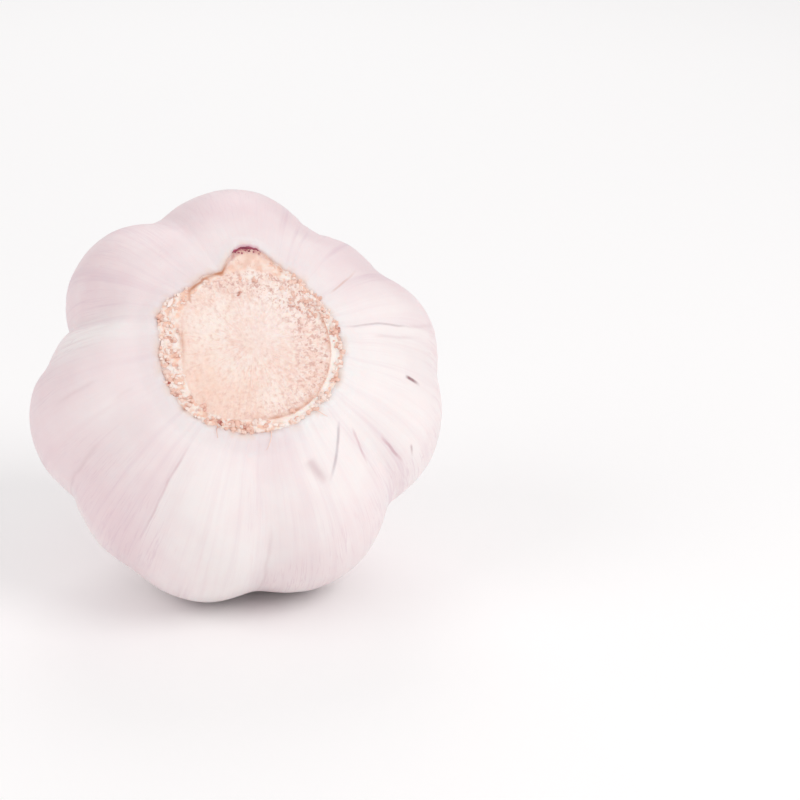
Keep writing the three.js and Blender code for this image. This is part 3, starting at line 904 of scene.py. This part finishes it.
def plateMaterial():
    # the disc and the ring are painted apart, then joined under the groove and the lines
    m = Recipe("corky_plate", plate["colours"], "disc")
    place, rays = m.objectPlace(), m.attribute("rays", "Vector")
    tan, crumb = m.attribute("tan"), m.attribute("crumb")
    m.paint("pale", m.clouds(0.4, 0.7, place, 150, 3))
    # short fibres that lead to the middle, some pale and some tan, and a mottle of small grains
    m.paint("pale", m.between(m.noise(rays, 1.5, 3, 0.6), 0.5, 0.68, 0.0, 0.6))
    mirrored = m.add("ShaderNodeVectorMath", {0: rays, 1: (1, -1, 1)}, operation="MULTIPLY").outputs[0]
    m.paint("fibre", m.between(m.noise(mirrored, 1.7, 3, 0.6), 0.52, 0.7, 0.0, 0.42))
    mottle = m.noise(place, 1700, 2, 0.5)
    m.paint("pale", m.between(mottle, 0.5, 0.68, 0.0, 0.5))
    m.paint("mottle", m.between(mottle, 0.46, 0.3, 0.0, 0.4))
    m.paint("warm", "warm", 0.5)
    m.paint("middle", "pale", 0.45)
    # tan in the hollows of the grain, stronger where the disc is stained
    hollow = m.between(m.attribute("grain"), 0.48, 0.15)
    fleck = m.clouds(0.5, 0.62, place, 1900, 3, 0.6)
    stain = m.math("ADD", m.times(hollow, 0.22), fleck, True)
    m.paint("tan", stain, m.between(tan, 0, 1, 0.04, 0.6))
    m.paint("brown", m.clouds(0.6, 0.68, place, 1500, 2), tan, 0.5)
    # the ring: pale crumbs with orange between them
    disc = m.layer("orange")
    m.paint("ring", m.between(crumb, 0.35, 0.75))
    high = m.clouds(0.42, 0.62, place, 600, 3)
    m.paint("pale", high, m.between(crumb, 0.3, 0.55))
    m.paint("brown", m.clouds(0.6, 0.7, place, 1100, 2), 0.35)
    # the tongue: smooth, with a few brown threads
    ring = m.layer("tongue")
    m.paint("tonguePale", m.clouds(0.35, 0.65, place, 800, 3))
    threads = m.threads(m.noise(place, 750, 2, 0.5, 0.8), 0.75)
    m.paint("thread", threads, m.clouds(0.42, 0.58, place, 300, 2))
    ring = m.blend(m.attribute("tongue"), ring, m.colour)
    m.colour = m.blend(m.between(m.attribute("reach"), 0.97, 1.2), disc, ring)
    m.paint("groove", "groove")
    m.paint("line", "line")
    m.paint("stain", "stain", m.between(m.noise(place, 1300, 3), 0.35, 0.6, 0.25, 1.0))
    m.bump(m.noise(place, 1600, 4, 0.6), 0.4, 0.00015)
    m.bump(m.noise(rays, 3.2, 3), 0.25, 0.00015)
    return m.finish(
        Roughness=0.82,
        Subsurface_Weight=0.2,
        Subsurface_Radius=(1.0, 0.6, 0.4),
        Subsurface_Scale=0.0012,
        Specular_IOR_Level=0.3,
    )


platePiece = makePlate()
platePiece.data.materials.append(plateMaterial())
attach(platePiece, "root")
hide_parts("root_plate")
print("root plate made")


crumbs = {
    "count": 190,
    "sizes": (0.12, 0.42),  # millimetres, half their width
    "driftCount": 46,  # lying on the upper right of the disc
    "driftSizes": (0.09, 0.2),
    "stubCount": 84,
    "stubSizes": (0.18, 0.32),
    "stubHeights": (0.15, 0.6),
    "colours": {
        "pale": (255, 240, 232), "orange": (247, 204, 187), "dark": (181, 98, 88),
        "mottle": (176, 104, 84),
    },
}

# dark crumbs set one by one: direction in degrees, millimetres from the middle, half width, darkness
darkCrumbs = [
    (158, 13.1, 0.42, 0.6), (150, 11.7, 0.28, 0.6), (166, 11.6, 0.3, 0.6), (164, 10.4, 0.4, 0.35),
    (173, 11.6, 0.32, 0.6), (182, 11.6, 0.36, 0.65), (187, 12.3, 0.32, 0.85), (195, 12.8, 0.45, 0.3),
    (202, 12.9, 0.32, 1.0), (207, 12.8, 0.4, 0.6), (211, 12.8, 0.4, 0.7), (229, 11.7, 0.4, 0.6),
    (241, 12.6, 0.32, 0.9), (251, 12.0, 0.5, 0.5), (256, 12.3, 0.35, 0.8), (262, 12.1, 0.4, 0.7),
    (273, 11.8, 0.45, 0.6), (293, 12.3, 0.3, 0.6), (292, 11.0, 0.28, 0.6), (308, 12.8, 0.35, 0.5),
    (319, 11.4, 0.4, 0.15), (316, 11.9, 0.42, 0.2), (314, 11.3, 0.3, 0.4), (330, 12.3, 0.3, 0.7),
    (342, 12.4, 0.45, 0.4), (355, 12.3, 0.26, 0.5), (355, 11.7, 0.3, 0.65), (1, 11.4, 0.28, 0.6),
    (358, 10.4, 0.24, 0.75), (7, 12.4, 0.36, 0.8), (12, 12.4, 0.34, 0.6), (20, 10.6, 0.3, 0.65),
    (23, 9.9, 0.3, 0.65), (34, 10.1, 0.32, 0.75), (39, 9.7, 0.28, 0.6), (37, 8.5, 0.24, 0.6),
    (48, 9.8, 0.3, 0.55), (47, 8.6, 0.3, 0.55), (58, 9.6, 0.3, 0.55), (53, 11.2, 0.38, 0.3),
    (63, 11.8, 0.2, 0.5), (68, 12.1, 0.2, 0.45), (72, 12.5, 0.2, 0.5), (76, 13.0, 0.18, 0.55),
    (80, 13.6, 0.16, 0.6), (83, 9.5, 0.3, 0.55), (95, 9.5, 0.3, 0.5), (100, 7.6, 0.22, 0.85),
    (120, 10.9, 0.35, 0.35),
]


def ringSpots(count, rng):
    # random spots on the ring, few over the open groove and on the tongue
    angle = rng.uniform(0, fullTurn, count * 6)
    distance = 0.95 + 1.0 * rng.beta(2.0, 1.5, count * 6)
    keep = 1 - np.where(distance < 1.5, 0.98, 0.4) * clearGroove(angle)
    bare = np.clip(withWaves(angle, 0, [(88, 20, 1), (121, 18, 1), (65, 10, 0.8)]), 0, 1)
    keep = keep * (1 - bare) ** 2 * withWaves(angle, 0.6, [(35, 30, 0.4), (190, 50, 0.2)])
    chosen = rng.uniform(0, 1, count * 6) < keep
    return angle[chosen][:count], distance[chosen][:count]


def blobs(centres, sizes, rng):
    # small lumps: a flattened rough ball each, its points moved in and out at random
    around, rings, squash = 9, 5, 0.5
    count = len(centres)
    v = np.linspace(0.14, 0.86, rings)[:, None] * np.pi
    size = sizes[:, None, None] * (1 + 0.24 * rng.uniform(-1, 1, (count, rings, around)))
    turn = turns(around) + rng.uniform(0, fullTurn, (count, 1, 1))
    stretch = rng.uniform(0.7, 1.5, (count, 1, 1))
    across = size * np.sin(v)
    ball = [across * np.cos(turn) * stretch, across * np.sin(turn) / stretch, -size * np.cos(v) * squash]
    half = np.stack([0 * sizes, 0 * sizes, sizes * squash], -1)
    return np.stack(ball, -1) + centres[:, None, None], np.stack([centres - half, centres + half], 1)


def makeCrumbs():
    # random crumbs of the ring: direction, distance, size and tint
    rng = np.random.default_rng(5)
    angle, distance = ringSpots(crumbs["count"], rng)
    small, large = crumbs["sizes"]
    sizes = small + (large - small) * rng.beta(1.3, 2.2, len(angle))
    tint = 0.03 + 0.47 * rng.uniform(0, 1, len(angle)) ** 1.8
    loose = [angle, distance, sizes, tint]
    # a drift of smaller ones lies on the upper right of the disc
    drift = crumbs["driftCount"]
    few = [np.radians(rng.normal(36, 17, drift)), 1.02 - 0.2 * np.abs(rng.normal(0, 0.6, drift))]
    few += [rng.uniform(*crumbs["driftSizes"], drift), rng.uniform(0.15, 0.75, drift)]
    # each dark crumb is a knot of three
    at, r, wide, dark = np.repeat(np.array(darkCrumbs), 3, axis=0).T
    turn = np.radians(at) + rng.normal(0, 0.28, len(at)) * wide / r * 3
    knots = [turn, faceAt(turn, r + rng.normal(0, 0.5, len(at)) * wide)]
    knots += [wide * rng.uniform(0.5, 1.0, len(at)), np.clip(dark * rng.uniform(0.6, 1.1, len(at)), 0, 1)]
    angle, distance, sizes, tint = np.hstack([loose, few, knots])
    # beyond the torn edge they lie on the skin
    onSkin = smooth(1.8, 1.95, distance)
    up = plateHeight(np.minimum(distance, 1.8), angle)
    up = up * (1 - onSkin) + (edgeForm["skinStand"] - skinLine[0][1] + 0.05) * onSkin + 0.1 * sizes
    piece = closedPiece("root_crumbs", *blobs(onFace(distance, angle, up), sizes, rng))
    tellLumps(piece, "tint", tint)
    return piece


def makeStubs():
    # cut roots: tapered pegs of six rings that lean outwards, the last ring dished into the end
    rng = np.random.default_rng(8)
    angle, distance = ringSpots(crumbs["stubCount"], rng)
    count, around = len(angle), 8
    tall = rng.uniform(*crumbs["stubHeights"], count)[:, None, None]
    size = rng.uniform(*crumbs["stubSizes"], count)[:, None, None]
    shares = np.array([-0.6, 0.1, 0.5, 0.92, 1.0, 0.9])[:, None]
    widths = np.array([1.25, 1.0, 0.85, 0.8, 0.68, 0.3])[:, None]
    a = turns(around)
    r = size * widths * (1 + 0.18 * rng.uniform(-1, 1, (count, len(shares), around)))
    lean = 0.5 * rng.uniform(0.2, 1.0, (count, 1, 1)) * shares * tall
    turn = angle[:, None, None] + rng.uniform(-0.7, 0.7, (count, 1, 1))
    foot = onFace(np.minimum(distance, 1.82), angle, 0.25)[:, None, None]
    peg = [r * np.cos(a) + lean * np.cos(turn), r * np.sin(a) + lean * np.sin(turn), 0 * r - shares * tall]
    piece = closedPiece("root_stubs", (foot + np.stack(peg, -1))[:, ::-1])
    tellLumps(piece, "tint", rng.uniform(0.05, 0.5, count))
    return piece


def crumbMaterial():
    # pale to orange to dark red with the tint, and mottled
    m = Recipe("root_crumb", crumbs["colours"], "pale")
    place, tint = m.objectPlace(), m.attribute("tint")
    m.paint("orange", m.between(tint, 0.0, 0.5))
    m.paint("dark", m.between(tint, 0.5, 1.0))
    mottle = m.clouds(0.5, 0.68, place, 1500, 3)
    m.paint("mottle", mottle, m.between(tint, 0, 1, 0.06, 0.5))
    m.bump(m.noise(place, 1800, 3), 0.5, 0.0002)
    return m.finish(
        Roughness=0.8,
        Subsurface_Weight=0.1,
        Subsurface_Radius=(1.0, 0.9, 0.85),
        Subsurface_Scale=0.0005,
    )


rootMaterial = crumbMaterial()
for piece in (makeCrumbs(), makeStubs()):
    piece.data.materials.append(rootMaterial)
    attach(piece, "root")
print("roots made")


trim = {
    "foldFrom": 79,
    "foldTo": 96,
    "foldSteps": 120,
    "foldWidth": 0.19,  # millimetres, half
    "foldInside": 0.16,  # millimetres in from the torn edge, less at the far end
    "scraps": 26,
    "scrapSizes": (0.06, 0.14),
    "flakes": [(148, 12.8, 0.5, 0.15), (176, 12.5, 0.4, 0.15)],  # direction, place, size, lift
    "hairs": [(275, 12.7, 2.4, -0.3), (307, 12.4, 2.0, 0.35), (242, 13.0, 1.6, 0.4)],
    "hairWidth": 0.07,
    "colours": {
        "dark": (116, 34, 62), "purple": (182, 84, 112), "pale": (220, 146, 156),
        "light": (190, 98, 116), "paper": (254, 244, 240), "paperShade": (249, 231, 224),
    },
}

# the larger scraps: direction in degrees, millimetres from the middle, half width, lightness
largeScraps = [(94.2, 14.1, 0.19, 0.0), (92.0, 13.65, 0.14, 0.5), (90.3, 13.45, 0.15, 0.7)]
largeScraps += [(88.0, 13.9, 0.11, 0.8), (86.0, 13.8, 0.15, 0.2), (83.3, 13.7, 0.13, 0.5)]
largeScraps += [(80.6, 14.0, 0.13, 0.6)]


def skinSpot(angle, along):
    # a point on the skin's outer face, along millimetres out from its torn edge
    t, length = rowPlaces()
    radius, height, outR, outH = sideLine(np.interp(along, length, t))
    return bulbPoint(radius, height - edgeStand(along), outR, outH, angle, edge=skinEdge(angle))


def tube(centre, radius, around):
    # rings of a round section across a path, and its two end points
    path = np.gradient(centre, axis=0)
    path = path / np.linalg.norm(path, axis=-1, keepdims=True)
    side = np.cross(path, (0.0, 0.0, -1.0))
    side = side / np.linalg.norm(side, axis=-1, keepdims=True)
    a = turns(around)[:, None]
    ring = np.cos(a) * side[:, None] + np.sin(a) * np.cross(side, path)[:, None]
    return centre[:, None] + radius * ring, centre[[0, -1]]


def makeFold():
    # the rolled edge of purple skin over the tongue: a tube that is thick in the middle
    steps, around = trim["foldSteps"], 12
    s = np.linspace(0, 1, steps)
    angle = np.radians(trim["foldFrom"] + (trim["foldTo"] - trim["foldFrom"]) * s)
    r = tornEdge(angle) - trim["foldInside"] * (1 - smooth(0.7, 1, s))
    thick = trim["foldWidth"] * np.sqrt(np.sin(np.pi * np.clip(s, 0.004, 0.996)))
    thick = thick * (0.8 + 0.35 * lineNoise(s, 0.09, 121) + 0.2 * bell(s - 0.9, 0.07))
    wobble = 1 + 0.2 * np.random.default_rng(12).uniform(-1, 1, (steps, around))
    centre = onPlate(r, angle, 0.32 + 0.1 * lineNoise(s, 0.11, 122))
    grid, poles = tube(centre, (thick[:, None] * wobble)[..., None], around)
    piece = closedPiece("purple_fold", grid[None], poles[None])
    tellGrid(piece, "light", np.repeat(0.6 * (1 - smooth(0.35, 0.65, s)), around))
    return piece


def makeScraps():
    # loose purple lumps along the fold, most of them on the tongue's side
    rng = np.random.default_rng(13)
    count = trim["scraps"]
    angle = np.radians(np.clip(rng.normal(87, 4.0, count), 80, 94))
    r = tornEdge(angle) - 0.15 - 0.7 * rng.beta(1.4, 2.6, count)
    small = [angle, r, rng.uniform(*trim["scrapSizes"], count), rng.uniform(0.3, 1, count)]
    large = np.array(largeScraps).T
    large[0] = np.radians(large[0])
    angle, r, sizes, light = np.hstack([small, large])
    up = plateHeight(faceAt(angle, r), angle) + 0.3 * sizes
    piece = closedPiece("purple_scraps", *blobs(onPlate(r, angle, up), sizes, rng))
    tellLumps(piece, "light", light)
    return piece


def foldMaterial():
    # dark and bright purple with pale flecks, lighter where the pieces say so
    m = Recipe("purple_edge", trim["colours"], "dark")
    place = m.objectPlace()
    m.paint("purple", m.clouds(0.36, 0.62, place, 500, 4, 0.6))
    m.paint("pale", m.clouds(0.58, 0.7, place, 1400, 3))
    m.paint("light", "light")
    m.bump(m.noise(place, 1500, 3), 0.5, 0.0002)
    return m.finish(Roughness=0.55)


def makeFlakes():
    # papery scales left on the torn edge: curled leaf shapes with a top and an underside
    rng, around, flakes = np.random.default_rng(15), 18, []
    a = turns(around)
    for at, r, size, lift in trim["flakes"]:
        turn = np.radians(at)
        ragged = 1 + 0.18 * rng.uniform(-1, 1, around)
        rings = []
        for share, layer in ((0.3, 0.5), (0.75, 0.5), (1.0, 0.0), (0.75, -0.5), (0.3, -0.5)):
            along = size * 1.5 * share * ragged * np.cos(a)
            out = size * 0.6 * share * ragged * np.sin(a)
            curl = lift * (0.25 + out / size + 0.5 * (along / size) ** 2) + 0.06 * layer
            aside = np.stack([-along * np.sin(turn), along * np.cos(turn), 0 * along], -1)
            rings.append(onPlate(r + out, turn, 0.35 + curl) + aside)
        flakes.append(rings)
    return closedPiece("torn_flakes", np.array(flakes))


def makeHairs():
    # fine dry roots that lie out over the skin from the edge of the plate
    hairs, s = [], np.linspace(0, 1, 16)
    for at, start, length, bend in trim["hairs"]:
        angle = np.radians(at) + bend * s**2 * length / start
        centre = skinSpot(angle, np.maximum(0.05, length * s))
        centre[:, 2] -= 0.06 + 0.25 * np.sin(np.pi * s)
        hairs.append(tube(centre, trim["hairWidth"] * (1 - 0.6 * s)[:, None, None], 6))
    piece = closedPiece("root_hairs", *(np.stack(each) for each in zip(*hairs)))
    tellLumps(piece, "tint", np.linspace(0.3, 0.7, len(hairs)))
    return piece


def flakeMaterial():
    # pale paper with soft patches
    m = Recipe("torn_paper", trim["colours"], "paper")
    place = m.objectPlace()
    m.paint("paperShade", m.clouds(0.4, 0.6, place, 400, 3))
    m.bump(m.noise(place, 900, 3), 0.4, 0.0002)
    return m.finish(Roughness=0.6)


purple = foldMaterial()
for piece, material, slot in (
    (makeFold(), purple, "bulb_skin"),
    (makeScraps(), purple, "bulb_skin"),
    (makeFlakes(), flakeMaterial(), "bulb_skin"),
    (makeHairs(), rootMaterial, "root_plate"),
):
    piece.data.materials.append(material)
    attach(piece, "root")
print("fold, flakes and hairs made")


studio = {
    "floorSize": 8.0,
    "colours": {"floor": (253.88, 253.88, 253.88), "cloud": (254.44, 254.44, 254.44)},
    "skyColour": (1.0, 0.985, 0.985, 1),
    "skyStrength": 0.65,
    "aim": (0, 0, 0.028),
    "lights": [  # name, position in metres, size, power, colour
        ("key", (0.42, -0.42, 0.5), 0.45, 1.78, (1.0, 0.985, 0.98)),
        ("fill", (-0.6, -0.2, 0.45), 0.6, 0.95, (1.0, 0.965, 0.975)),
        ("rim", (0.1, 0.6, 0.55), 0.5, 0.95, (1.0, 1.0, 1.0)),
    ],
}


def makeFloor():
    # one flat square, a little uneven in tone
    half = studio["floorSize"] / 2
    corners = np.array([[-half, -half, 0], [half, -half, 0], [half, half, 0], [-half, half, 0]])
    floor = makePiece("floor", corners, [[0, 1, 2, 3]])
    m = Recipe("matte_floor", studio["colours"], "floor")
    m.paint("cloud", m.clouds(0.3, 0.7, m.objectPlace(), 3, 2))
    floor.data.materials.append(m.finish(Roughness=0.9, Specular_IOR_Level=0.1))


def addLight(name, position, size, power, colour):
    # a round lamp that looks at the bulb's middle
    data = bpy.data.lights.new(name, "AREA")
    data.shape, data.size, data.energy, data.color = "DISK", size, power, colour
    light = bpy.data.objects.new(name, data)
    light.location = position
    x, y, z = np.subtract(position, studio["aim"])
    light.rotation_euler = (math.atan2(math.hypot(x, y), z), 0, math.atan2(y, x) + math.pi / 2)
    bpy.context.scene.collection.objects.link(light)


def makeSky():
    # even light from all round
    world = bpy.data.worlds.new("soft_box")
    world.use_nodes = True
    background = world.node_tree.nodes["Background"]
    background.inputs[0].default_value = studio["skyColour"]
    background.inputs[1].default_value = studio["skyStrength"]
    bpy.context.scene.world = world


makeFloor()
makeSky()
for lamp in studio["lights"]:
    addLight(*lamp)

# The view: where the middle of the bulb falls in an image of 800 by 800 points.
view = {
    "azimuth": -12.5,
    "elevation": 19.1,
    "lens": 100.0,
    "sensor": 36.0,
    "imageSize": 800,
    "pointsPerMm": 6.78,
    "middleAcross": 234,
    "middleDown": 390,
    "middleHeight": 20.0,  # the axis point that the image position belongs to
}


def makeCamera():
    # looks along the view's direction from where the axis point has the view's scale
    az, el = math.radians(view["azimuth"]), math.radians(view["elevation"])
    back = np.array([math.sin(az) * math.cos(el), -math.cos(az) * math.cos(el), math.sin(el)])
    right = np.array([math.cos(az), math.sin(az), 0])
    half, scale = view["imageSize"] / 2, view["pointsPerMm"]
    target = layDown(np.array([0.0, 0.0, view["middleHeight"]])) + layShift
    target = target + right * (half - view["middleAcross"]) / scale
    target = target - np.cross(back, right) * (half - view["middleDown"]) / scale
    distance = view["imageSize"] * view["lens"] / view["sensor"] / scale
    data = bpy.data.cameras.new("camera")
    data.lens, data.sensor_width = view["lens"], view["sensor"]
    data.clip_start, data.clip_end = 0.01, 50
    camera = bpy.data.objects.new("camera", data)
    camera.location = (target + back * distance) * mm
    camera.rotation_euler = (math.pi / 2 - el, 0, az)
    bpy.context.scene.collection.objects.link(camera)
    bpy.context.scene.camera = camera


makeCamera()
bpy.context.scene.view_settings.view_transform = "Standard"
print("floor, light and camera made")
